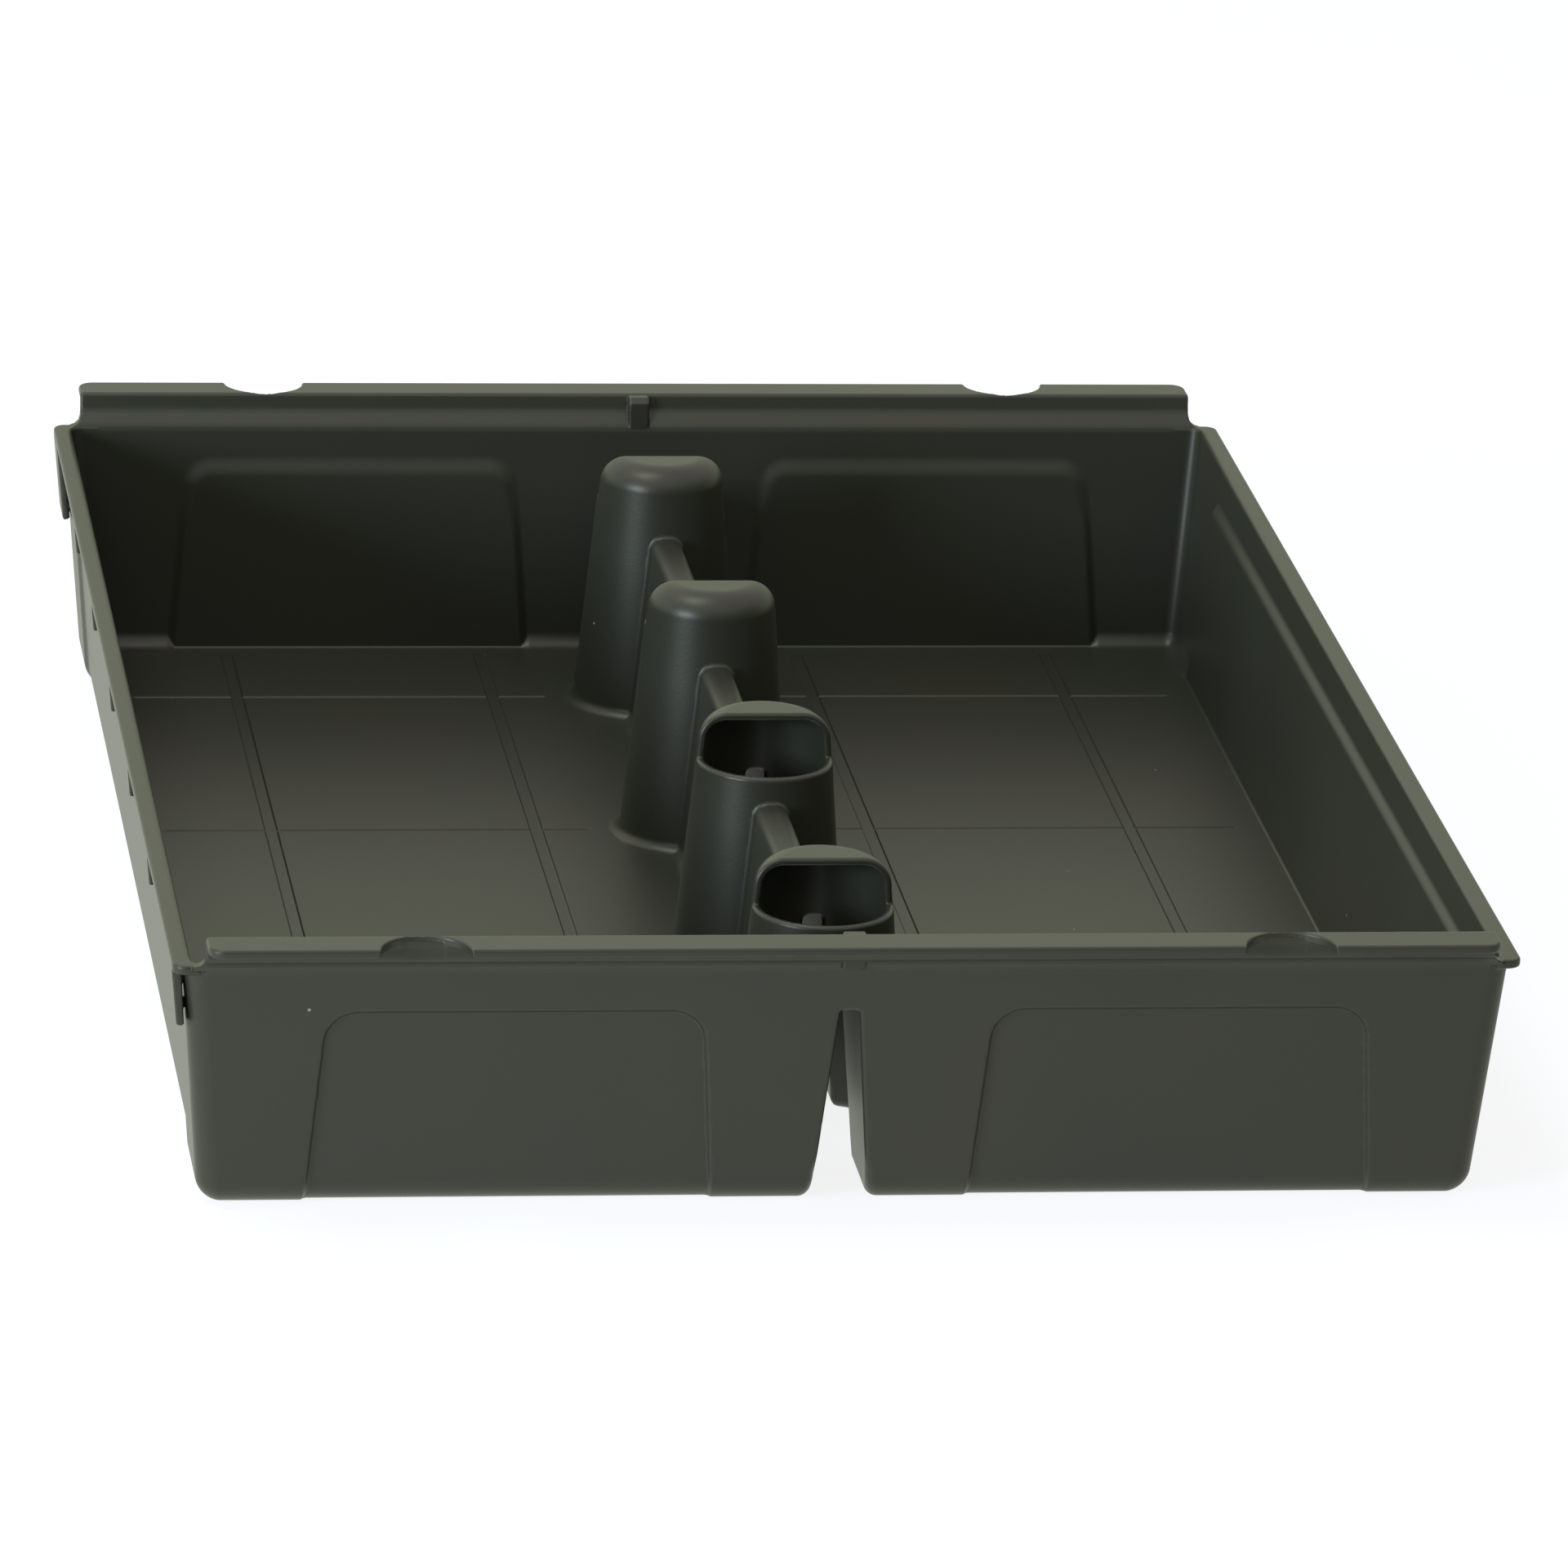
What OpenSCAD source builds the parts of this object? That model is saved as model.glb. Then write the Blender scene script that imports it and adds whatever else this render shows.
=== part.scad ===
// Stacking tray, one injection moulding, 600 x 400 mm footprint.
// The moulding is drawn as its named regions. Neighbours meet face to face and none overlaps another.
// Origin: middle of the base, on the surface it stands on. +Z is up and -Y is the front.

/* [Tray] */
// Width over the two side rims
tray_w = 400; // [330:1:500]
// Length over the end walls, at the rim
tray_l = 567; // [480:1:700]
// Height of the rim above the base
rim_z = 78.5; // [66:0.5:110]
// Wall thickness of the moulding
wall_t = 2.8; // [2:0.1:3.6]
// Thickness of the floor
floor_t = 3; // [2:0.1:4]
// Draft of the side walls, millimetres per millimetre of height
side_draft = 0.085; // [0.03:0.005:0.12]
// Draft of the end walls, millimetres per millimetre of height
end_draft = 0.125; // [0.04:0.005:0.17]
// Radius of the upright corners at the rim
corner_r = 5; // [4:0.5:10]
// Radius of the outer bottom edge
foot_r = 8; // [4.5:0.5:9]

/* [Side rims] */
// How far a side rim stands out from its wall
rim_reach = 3; // [2:0.5:6]
// Radius of a side rim's corners, seen from above
rim_corner_r = 4; // [2:0.5:6]
// Thickness of a side rim
rim_t = 2.8; // [2:0.1:4]
// Gap between the tabs and the top of the wall
tab_gap = 0.6; // [0.3:0.1:1.2]
// Thickness of a tab at its lower end
tab_low_t = 1.5; // [1:0.1:2.2]
// Inward lean of the tabs' outer faces, millimetres per millimetre of height
tab_lean = 0.1; // [0.05:0.01:0.12]
// Depth of the short tabs below the left rim
tab_drop = 8.5; // [6:0.5:14]
// Length of a short tab along the rim
tab_w = 8; // [4:0.5:20]
// Distance between neighbouring short tabs
tab_pitch = 86; // [70:1:100]
// Short tabs on each side of the middle one
tab_pairs = 2; // [1:1:2]
// Depth and length of the long tab at the front end of the left rim
end_tab_drop = 17; // [10:0.5:28]
end_tab_w = 6; // [3:0.5:12]
// Depth and length of the long tab at its rear end
rear_tab_drop = 26; // [10:0.5:32]
rear_tab_w = 18; // [3:0.5:24]

/* [End lips] */
// Height of a lip above the rim
lip_rise = 10.3; // [8:0.1:18]
// How far a lip stands out from its end wall
lip_reach = 16.5; // [14.5:0.5:20]
// Outward step between the end wall and the riser of the lip
lip_step = 4.7; // [3.5:0.1:6]
// Height of the slope that makes this step
lip_slope_h = 4.2; // [2:0.1:5]
// Length of a lip along its wall
lip_w = 381.5; // [300:0.5:384]
// Radius of the rounded ends of a lip
lip_end_r = 5; // [3:0.5:8]
// Radius of the finger notches
notch_r = 13.3; // [8:0.1:18]
// Distance of a notch from the middle of its lip
notch_x = 127.5; // [60:0.5:150]
// Depth that a notch takes off the top of the riser behind it
notch_sink = 1.4; // [0.6:0.1:2]
// Concave fillet between the ends of a lip and the rim
lip_foot_r = 3.5; // [2:0.5:5]
// Width of the rib in the middle of a lip
rib_w = 7; // [4:0.5:12]

/* [Posts] */
// Distance between neighbouring posts, also of the cross grooves
post_pitch = 143; // [120:1:165]
// Radius of a post where its cone meets the base
post_r0 = 27.6; // [24:0.1:32]
// Draft of the posts
post_draft = 0.086; // [0.04:0.002:0.1]
// Height of the closed half of a post above the base
post_h = 88; // [80:1:110]
// Fillet around the top of a post
post_top_r = 8; // [5:0.5:10]
// Fillet between a post and the floor
post_foot_fillet = 3; // [2:0.5:6]
// Height of the mouth, from its level rim to the top of the post
mouth_drop = 14.5; // [8:0.5:18]
// Thickness of the sheet that forms the posts and the ridge
core_t = 2.2; // [1.6:0.1:3]

/* [Ridge] */
// Height of the tunnel under the ridge
tunnel_h = 63; // [50:1:66]
// Half of the tunnel's width at its top
tunnel_top_half = 2.8; // [2.5:0.1:5]
// Draft of the tunnel's sides
tunnel_draft = 0.09; // [0.04:0.01:0.12]
// Rounding between the tunnel or a post and the underside
under_r = 3.5; // [2:0.5:4]
// Fillet between the ridge and the floor
ridge_foot_fillet = 3; // [1.5:0.5:5]

/* [Panels and grooves] */
// Depth of the embossed wall panels
panel_d = 1.2; // [0.6:0.1:2]
// Width of the sloped edge of a panel
panel_edge = 2.4; // [1.5:0.1:5]
// Height of the panels' top edges
panel_top_z = 63; // [50:1:68]
// Radius of the panels' top corners
panel_corner_r = 10; // [5:0.5:14]
// Distance of the end panels from the middle of the wall, at the top
panel_in = 42.5; // [36:0.5:60]
// Outer edge of the end panels, at the top
panel_out = 155; // [110:0.5:158]
// How much an end panel widens at each side, from its top to the base
panel_flare = 5; // [0:0.5:8]
// Distance from the ends of the side panels to the end walls
panel_end_gap = 55; // [40:1:90]
// Width of the floor's long grooves
groove_w = 4; // [2:0.5:6]
// Width of the cross grooves
cross_w = 1.4; // [1:0.1:3]
// Depth of the grooves
groove_d = 0.6; // [0.3:0.1:1]
// Distance of the inner long grooves from the middle
groove_in = 54.5; // [50:0.5:65]
// Distance of the outer long grooves from the middle
groove_out = 141; // [100:0.5:145]
// Where the cross grooves begin and end, from the middle
cross_from = 37; // [36:0.5:45]
cross_to = 176; // [120:0.5:180]

/* [Hidden] */

// Colour of the moulded plastic
plastic = [0.27, 0.30, 0.27];
// Small overlap for cutting tools
eps = 0.5;
// Thickness too small to matter
hair = 0.02;
// Height of the upright band at the top of the basin's form
brim = 0.3;
// How deep the pads of the panels are rooted in the walls
pad_root = 0.4;
// Steps in each computed arc
arc_steps = 6;
// Facets of the round children of the basin's hulls
hull_fn = 28;

wall_w = tray_w - 2 * rim_reach;
lip_z = rim_z + lip_rise;
// Lip corners: the rounded outer edge, the bend above the riser, the bend below the ledge
lip_edge_r = 1.2;
lip_bend_r = 1.5;
under_bend_r = 0.8;
// Where the long tabs end, clear of the rims' corners
rim_end_y = tray_l / 2 - rim_corner_r;
// Places of the posts along Y, front to rear
post_y = [for (i = [0:3]) (i - 1.5) * post_pitch];

// Outside half width and half length of the basin at height z
function half_w(z) = wall_w / 2 - side_draft * (rim_z - z);
function half_l(z) = tray_l / 2 - end_draft * (rim_z - z);
// Length of a drafted face's normal per unit of its horizontal part
function lean(draft) = sqrt(1 + draft * draft);
// Points of an arc round c, from angle a0 to angle a1
function arc(c, r, a0, a1, n = arc_steps) =
    [for (i = [0:n]) let (a = a0 + (a1 - a0) * i / n) c + r * [cos(a), sin(a)]];
// A point list mirrored left to right, in reverse order
function mirrored(pts) = [for (i = [len(pts) - 1:-1:0]) [-pts[i][0], pts[i][1]]];

// ---------------------------------------------------------------- basin

// Solid basin whose faces lie `inset` inside the outer faces, from z_low up to z_top
module basin_form(inset, r_low, r_top, z_low, z_top) {
    // The lowest facets of a ball with this radius lie exactly at z_low
    ball_r = r_low / cos(180 / hull_fn);
    hull() {
        for (sx = [-1, 1], sy = [-1, 1]) {
            zc = z_low + r_low;
            translate([
                sx * (half_w(zc) - inset - r_low * lean(side_draft)),
                sy * (half_l(zc) - inset - r_low * lean(end_draft)),
                zc
            ]) sphere(ball_r, $fn = hull_fn);
            translate([
                sx * (half_w(z_top) - inset - r_top),
                sy * (half_l(z_top) - inset - r_top),
                z_top - brim
            ]) cylinder(r = r_top, h = brim, $fn = hull_fn);
        }
    }
}

module basin_outside() basin_form(0, foot_r, corner_r, 0, rim_z);

// The hollow starts a hair below the floor's top, so that no film is left between wall and floor
module basin_inside()
    basin_form(wall_t, foot_r - wall_t, corner_r - wall_t, floor_t - hair, rim_z + eps);

// The plan quarter of one end wall, cut along the diagonals of the corners
module end_quarter() {
    reach = tray_l;
    apex = (tray_l - wall_w) / 2;
    translate([0, 0, floor_t]) linear_extrude(rim_z - floor_t)
        polygon([[0, -apex], [-reach, -apex - reach], [reach, -apex - reach]]);
}

// The plan quarter of one side wall
module side_quarter() {
    reach = tray_l;
    apex = (tray_l - wall_w) / 2;
    translate([0, 0, floor_t]) linear_extrude(rim_z - floor_t)
        polygon([[0, apex], [0, -apex], [reach, -apex - reach], [reach, apex + reach]]);
}

// ---------------------------------------------------------------- panels

// Pad with sloped edges and round top corners: a trapezoid in X and Z that narrows towards +Y
// by panel_edge. x_in and x_out are its sides at z_top, and they spread by `flare` down to z = 0.
module panel_pad(x_in, x_out, flare, z_top, depth) {
    spread = flare / z_top;
    r = panel_corner_r;
    module slice(y, edge) {
        z_low = edge - foot_r;
        side = edge * lean(spread) - spread * (z_top - z_low);
        corner = r * lean(spread) - spread * r;
        translate([0, y, 0]) rotate([90, 0, 0]) linear_extrude(hair)
            polygon(concat(
                [[x_in + side, z_low]],
                arc([x_in + corner, z_top - r], r - edge, 180 - atan(spread), 90),
                arc([x_out - corner, z_top - r], r - edge, 90, atan(spread)),
                [[x_out - side, z_low]]
            ));
    }
    hull() {
        slice(0, 0);
        slice(depth, panel_edge);
    }
}

// The right pad of the front wall, from the plane `inset` inside its outer face up to `top` inside it
module end_pad(inset, top) {
    translate([0, -half_l(0) + inset, 0]) rotate([atan(end_draft), 0, 0])
        panel_pad(panel_in, panel_out, panel_flare, panel_top_z, top - inset);
}

// The pad of the right wall, likewise
module side_pad(inset, top) {
    half = half_l(0) - panel_end_gap;
    translate([half_w(0) - inset, 0, 0]) rotate([0, atan(side_draft), 0]) rotate([0, 0, 90])
        panel_pad(-half, half, 0, panel_top_z, top - inset);
}

// The panels stand out from the inner faces of the walls
module end_boss() end_pad(wall_t - pad_root, wall_t + panel_d);
module side_boss() side_pad(wall_t - pad_root, wall_t + panel_d);

// They are hollow to the same depth on the outer faces
module end_recess() end_pad(-hair, panel_d);
module side_recess() side_pad(-hair, panel_d);

// A pair of end panels
module both_sides() {
    children();
    mirror([1, 0, 0]) children();
}

// ---------------------------------------------------------------- ridge and tunnel

// Half width of the tunnel at height z
function tunnel_half(z) = tunnel_top_half + tunnel_draft * (tunnel_h - z);
// Half width of the ridge at height z
function ridge_half(z) = tunnel_half(z) + core_t * lean(tunnel_draft);

// Middle of the fillet between the ridge and the floor, which also ends the ridge's foot
ridge_fillet_z = floor_t + ridge_foot_fillet;
ridge_foot_x = ridge_half(ridge_fillet_z) + ridge_foot_fillet * lean(tunnel_draft);

// Cross-section of the tunnel: drafted sides, small top corners, rounded lower edges
module tunnel_2d() {
    lean_a = atan(tunnel_draft);
    top_r = 1;
    side = concat(
        [[tunnel_half(under_r) + under_r * lean(tunnel_draft), -eps]],
        arc([tunnel_half(under_r) + under_r * lean(tunnel_draft), under_r], under_r, 270, 180 + lean_a),
        arc([tunnel_half(tunnel_h - top_r) - top_r, tunnel_h - top_r], top_r, lean_a, 90, 3)
    );
    polygon(concat(side, mirrored(side)));
}

// Cross-section of the ridge's outer faces, with its foot fillets
module ridge_2d() {
    lean_a = atan(tunnel_draft);
    top_z = tunnel_h + core_t;
    top_r = 3.6;
    side = concat(
        [[ridge_foot_x, 0], [ridge_foot_x, floor_t]],
        arc([ridge_foot_x, ridge_fillet_z], ridge_foot_fillet, 270, 180 + lean_a),
        arc([ridge_half(top_z - top_r) - top_r * lean(tunnel_draft), top_z - top_r], top_r, lean_a, 90)
    );
    polygon(concat(side, mirrored(side)));
}

// Extrudes a cross-section in X and Z along Y
module along_y(y0, y1) {
    translate([0, y1, 0]) rotate([90, 0, 0]) linear_extrude(y1 - y0) children();
}

module tunnel_cut(y0, y1) along_y(y0, y1) tunnel_2d();

// One stretch of the ridge
module ridge(y0, y1) {
    along_y(y0, y1) difference() {
        ridge_2d();
        tunnel_2d();
    }
}

// ---------------------------------------------------------------- posts

function post_r(z) = post_r0 - post_draft * z;
function cavity_r(z) = post_r(z) - core_t * lean(post_draft);

// Middle of the fillet between a post and the floor, which also ends the post's foot
post_fillet_z = floor_t + post_foot_fillet;
post_foot_x = post_r(post_fillet_z) + post_foot_fillet * lean(post_draft);

// Half outline of a post's outside: foot, fillet, cone, rounded top
module post_outline() {
    lean_a = atan(post_draft);
    top_c = [post_r(post_h - post_top_r) - post_top_r * lean(post_draft), post_h - post_top_r];
    polygon(concat(
        [[0, 0], [post_foot_x, 0], [post_foot_x, floor_t]],
        arc([post_foot_x, post_fillet_z], post_foot_fillet, 270, 180 + lean_a),
        arc(top_c, post_top_r, lean_a, 90),
        [[0, post_h]]
    ));
}

// Half outline of a post's hollow, open at the base
module cavity_outline() {
    lean_a = atan(post_draft);
    roof_z = post_h - core_t;
    roof_r = post_top_r - core_t;
    roof_c = [cavity_r(roof_z - roof_r) - roof_r * lean(post_draft), roof_z - roof_r];
    foot_x = cavity_r(under_r) + under_r * lean(post_draft);
    polygon(concat(
        [[0, -eps], [foot_x, -eps]],
        arc([foot_x, under_r], under_r, 270, 180 + lean_a),
        arc(roof_c, roof_r, lean_a, 90),
        [[0, roof_z]]
    ));
}

// One hollow post. Its mouth, towards -Y, is the upper part of the front half cut away:
// an upright edge in the middle plane and a level rim below it.
module post() {
    difference() {
        union() {
            rotate_extrude($fn = 96) post_outline();
            along_y(-post_foot_x, post_foot_x) ridge_2d();
        }
        rotate_extrude($fn = 96) cavity_outline();
        tunnel_cut(-post_foot_x - eps, post_foot_x + eps);
        translate([-post_foot_x, -2 * post_foot_x, post_h - mouth_drop])
            cube([2 * post_foot_x, 2 * post_foot_x, mouth_drop + eps]);
    }
}

// ---------------------------------------------------------------- lips

// Planes of the front lip along Y: outer side of the wall, both sides of the riser, outer edge
lip_wall_y = -tray_l / 2;
riser_in_y = lip_wall_y + wall_t - lip_step;
riser_out_y = riser_in_y - wall_t;
lip_edge_y = lip_wall_y - lip_reach;

// Cross-section of the lip in Y and Z: slope, riser, bend and ledge
module lip_2d() {
    bend = [riser_in_y - lip_bend_r, lip_z - lip_bend_r];
    slope_top = rim_z + lip_slope_h;
    // The slope's outer side lies lower, so that the sheet keeps its thickness
    sink = wall_t * tan(atan2(lip_step, lip_slope_h) / 2);
    polygon(concat(
        [[lip_wall_y + wall_t, rim_z], [riser_in_y, slope_top]],
        arc(bend, lip_bend_r, 0, 90),
        arc([lip_edge_y + lip_edge_r, lip_z - lip_edge_r], lip_edge_r, 90, 180, 3),
        [[lip_edge_y, lip_z - wall_t]],
        arc([riser_out_y - under_bend_r, lip_z - wall_t - under_bend_r], under_bend_r, 90, 0, 3),
        [[riser_out_y, max(rim_z + 0.3, slope_top - sink)], [lip_wall_y, rim_z]]
    ));
}

// Plan outline of the lip, with its rounded outer corners
module lip_plan() {
    half = lip_w / 2;
    r = lip_end_r;
    polygon(concat(
        [[-half, 0]],
        arc([r - half, lip_edge_y + r], r, 180, 270),
        arc([half - r, lip_edge_y + r], r, 270, 360),
        [[half, 0]]
    ));
}

// Cutter of one finger notch: a half disc through the ledge, and a shallow scoop in the riser's bend
module notch_cut() {
    translate([0, lip_edge_y, lip_z - notch_sink]) cylinder(r = notch_r, h = notch_sink + eps, $fn = 64);
    intersection() {
        translate([0, lip_edge_y, lip_z - 2 * wall_t]) cylinder(r = notch_r, h = 2 * wall_t, $fn = 64);
        translate([-tray_w, riser_out_y - tray_w, 0]) cube([2 * tray_w, tray_w, 2 * lip_z]);
    }
}

// Fills the step of the lip with a small upright rib
module lip_rib() {
    translate([-rib_w / 2, riser_in_y, rim_z]) rotate([90, 0, 90]) linear_extrude(rib_w)
        polygon([
            [lip_step, 0],
            [lip_step - 0.6, lip_rise - 2.2],
            [lip_step - 2.4, lip_rise - 0.4],
            [-1, lip_rise - 0.4],
            [-1, lip_slope_h]
        ]);
}

// Concave fillet on the rim beside the right end of the lip
module lip_foot() {
    along_y(lip_wall_y, lip_wall_y + wall_t)
        polygon(concat(
            [[lip_w / 2 - hair, rim_z]],
            arc([lip_w / 2 + lip_foot_r, rim_z + lip_foot_r], lip_foot_r, 270, 180),
            [[lip_w / 2 - hair, rim_z + lip_foot_r]]
        ));
}

// The front lip
module lip() {
    difference() {
        union() {
            intersection() {
                translate([-lip_w / 2, 0, 0]) rotate([90, 0, 90]) linear_extrude(lip_w) lip_2d();
                translate([0, 0, rim_z]) linear_extrude(lip_rise + eps) lip_plan();
            }
            lip_rib();
            both_sides() lip_foot();
        }
        for (s = [-1, 1]) translate([s * notch_x, 0, 0]) notch_cut();
    }
}

// ---------------------------------------------------------------- side rims

// Outline of the tray over its side rims, seen from above
module rim_plan() {
    r = rim_corner_r;
    x = tray_w / 2 - r;
    y = tray_l / 2 - r;
    polygon(concat(
        arc([x, y], r, 0, 90),
        arc([-x, y], r, 90, 180),
        arc([-x, -y], r, 180, 270),
        arc([x, -y], r, 270, 360)
    ));
}

// The left rim without tabs: a flat flange that follows the outside of the wall
module side_rim() {
    out = -tray_w / 2;
    edge_r = 1;
    difference() {
        intersection() {
            along_y(-tray_l / 2, tray_l / 2)
                polygon(concat(
                    [[out + rim_reach + corner_r, rim_z]],
                    arc([out + edge_r, rim_z - edge_r], edge_r, 90, 180, 3),
                    [[out, rim_z - rim_t], [out + rim_reach + corner_r, rim_z - rim_t]]
                ));
            linear_extrude(2 * rim_z) rim_plan();
        }
        basin_outside();
    }
}

// A tab hanging from the left rim. It starts flush with the rim's edge and leans in below.
module rim_tab(y, length, drop) {
    out = -tray_w / 2;
    z_top = rim_z - rim_t;
    low = out + tab_lean * drop;
    along_y(y - length / 2, y + length / 2)
        polygon([
            [out, z_top],
            [low, z_top - drop],
            [low + tab_low_t, z_top - drop],
            [out + rim_reach - tab_gap, z_top]
        ]);
}

// ---------------------------------------------------------------- nodes

module front_wall() {
    color(plastic) difference() {
        union() {
            intersection() {
                difference() {
                    basin_outside();
                    basin_inside();
                }
                end_quarter();
            }
            intersection() {
                both_sides() end_boss();
                end_quarter();
            }
        }
        both_sides() end_recess();
        tunnel_cut(-tray_l, 0);
    }
}

module rear_wall() mirror([0, 1, 0]) front_wall();

module right_wall() {
    color(plastic) difference() {
        union() {
            intersection() {
                difference() {
                    basin_outside();
                    basin_inside();
                }
                side_quarter();
            }
            intersection() {
                side_boss();
                side_quarter();
            }
        }
        side_recess();
    }
}

module left_wall() mirror([1, 0, 0]) right_wall();

// One half of the floor, with the feet of the walls; the posts and the ridge stand in its middle edge
module floor_right() {
    color(plastic) difference() {
        intersection() {
            basin_outside();
            translate([ridge_foot_x, -tray_l, -eps]) cube([tray_w, 2 * tray_l, floor_t + eps]);
        }
        end_recess();
        mirror([0, 1, 0]) end_recess();
        side_recess();
        for (y = post_y) translate([0, y, -eps]) cylinder(r = post_foot_x, h = floor_t + 2 * eps, $fn = 96);
        for (x = [groove_in, groove_out])
            translate([x - groove_w / 2, -half_l(0) + 12, floor_t - groove_d])
                cube([groove_w, 2 * half_l(0) - 24, groove_d + eps]);
        for (y = post_y)
            translate([cross_from, y - cross_w / 2, floor_t - groove_d])
                cube([cross_to - cross_from, cross_w, groove_d + eps]);
    }
}

module floor_left() mirror([1, 0, 0]) floor_right();

module front_lip() color(plastic) lip();

module rear_lip() mirror([0, 1, 0]) front_lip();

module left_rim() {
    color(plastic) union() {
        side_rim();
        for (i = [-tab_pairs:tab_pairs]) rim_tab(i * tab_pitch, tab_w, tab_drop);
        rim_tab(end_tab_w / 2 - rim_end_y, end_tab_w, end_tab_drop);
        rim_tab(rim_end_y - rear_tab_w / 2, rear_tab_w, rear_tab_drop);
    }
}

module right_rim() color(plastic) mirror([1, 0, 0]) side_rim();

// Posts 1 and 2 open to the front, posts 3 and 4 to the rear
module placed_post(i) {
    color(plastic) translate([0, post_y[i], 0]) mirror([0, i < 2 ? 0 : 1, 0]) post();
}

module post_1() placed_post(0);
module post_2() placed_post(1);
module post_3() placed_post(2);
module post_4() placed_post(3);

// The ridge between post i and the next one
module ridge_between(i) {
    color(plastic) ridge(post_y[i] + post_foot_x, post_y[i + 1] - post_foot_x);
}

module ridge_1_2() ridge_between(0);
module ridge_2_3() ridge_between(1);
module ridge_3_4() ridge_between(2);

// The ridge between the front wall and post 1, with the strip of floor below the wall
module ridge_front() {
    color(plastic) intersection() {
        ridge(-tray_l / 2, post_y[0] - post_foot_x);
        union() {
            basin_inside();
            intersection() {
                basin_outside();
                translate([-tray_w / 2, -tray_l, -eps]) cube([tray_w, 2 * tray_l, floor_t + eps]);
            }
        }
    }
}

module ridge_rear() mirror([0, 1, 0]) ridge_front();

floor_left();
floor_right();
front_wall();
rear_wall();
left_wall();
right_wall();
front_lip();
rear_lip();
left_rim();
right_rim();
post_1();
post_2();
post_3();
post_4();
ridge_front();
ridge_1_2();
ridge_2_3();
ridge_3_4();
ridge_rear();
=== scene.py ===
"""A drafted stacking tray, moulded in one dark plastic, on a pale studio floor.

The tray is one sheet of plastic: walls, floor, end lips, side rims, and a row of hollow
posts joined by a hollow ridge. Each feature is a class that knows the form of its own
faces as a distance, in millimetres, to the nearest face. `Moulding` joins them with the
fillets of a real mould, and `Moulder` turns each region of the sheet into a fine mesh.
"""

from __future__ import annotations

import logging
import math
from dataclasses import dataclass
from enum import Enum
from typing import Any, Mapping, Sequence

import bpy
import numpy as np
from mathutils import Matrix, Vector

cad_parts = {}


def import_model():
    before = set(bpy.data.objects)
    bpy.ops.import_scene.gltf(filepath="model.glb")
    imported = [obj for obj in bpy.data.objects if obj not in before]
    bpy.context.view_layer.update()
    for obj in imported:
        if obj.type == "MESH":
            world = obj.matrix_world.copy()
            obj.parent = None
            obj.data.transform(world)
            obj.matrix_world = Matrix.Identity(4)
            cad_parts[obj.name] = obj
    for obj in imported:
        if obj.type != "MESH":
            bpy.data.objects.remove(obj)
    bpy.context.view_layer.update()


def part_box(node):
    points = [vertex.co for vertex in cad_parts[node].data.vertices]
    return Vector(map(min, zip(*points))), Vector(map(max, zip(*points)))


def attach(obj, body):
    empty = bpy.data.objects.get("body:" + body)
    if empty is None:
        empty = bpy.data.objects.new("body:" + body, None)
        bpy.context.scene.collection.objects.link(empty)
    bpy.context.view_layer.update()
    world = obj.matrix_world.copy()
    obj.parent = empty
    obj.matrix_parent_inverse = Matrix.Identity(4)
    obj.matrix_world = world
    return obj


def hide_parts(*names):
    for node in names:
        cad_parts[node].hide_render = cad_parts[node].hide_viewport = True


MM = 0.001
FAR = 1000.0
TINY = 1e-9
LINE_TOLERANCE = 1e-6
LOG = logging.getLogger("stacking_tray")

Numbers = np.ndarray
Pair = tuple[float, float]
Triple = tuple[float, float, float]
Colour = Triple
Socket = bpy.types.NodeSocket
Tint = Colour | Socket
Feed = float | Tint
WHITE: Colour = (1.0, 1.0, 1.0)


# ---- form tools


def round_or(a: Numbers, b: Numbers, radius: float | Numbers) -> Numbers:
    """Joins two forms with a concave fillet where they meet.

    Args:
        a: Distance to the first form, negative inside.
        b: Distance to the second form.
        radius: Radius of the fillet.

    Returns:
        Distance to the joined form.
    """
    left = np.maximum(radius - a, 0.0)
    right = np.maximum(radius - b, 0.0)
    return np.maximum(radius, np.minimum(a, b)) - np.hypot(left, right)


def round_and(a: Numbers, b: Numbers, radius: float | Numbers) -> Numbers:
    """Keeps what two forms share, with a rounded edge of that radius."""
    return -round_or(-a, -b, radius)


def ease(t: Numbers) -> Numbers:
    """A smooth step from 0 to 1 as t goes from 0 to 1."""
    s = np.clip(t, 0.0, 1.0)
    return s * s * (3.0 - 2.0 * s)


def run_along(places: Numbers, axis: int) -> Numbers:
    """Places of grid lines as an array that runs along one of three axes."""
    return places.reshape([-1 if other == axis else 1 for other in range(3)])


def lean(draft: float) -> float:
    """Length of a drafted face's slant per unit of its height."""
    return math.sqrt(1.0 + draft * draft)


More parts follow.
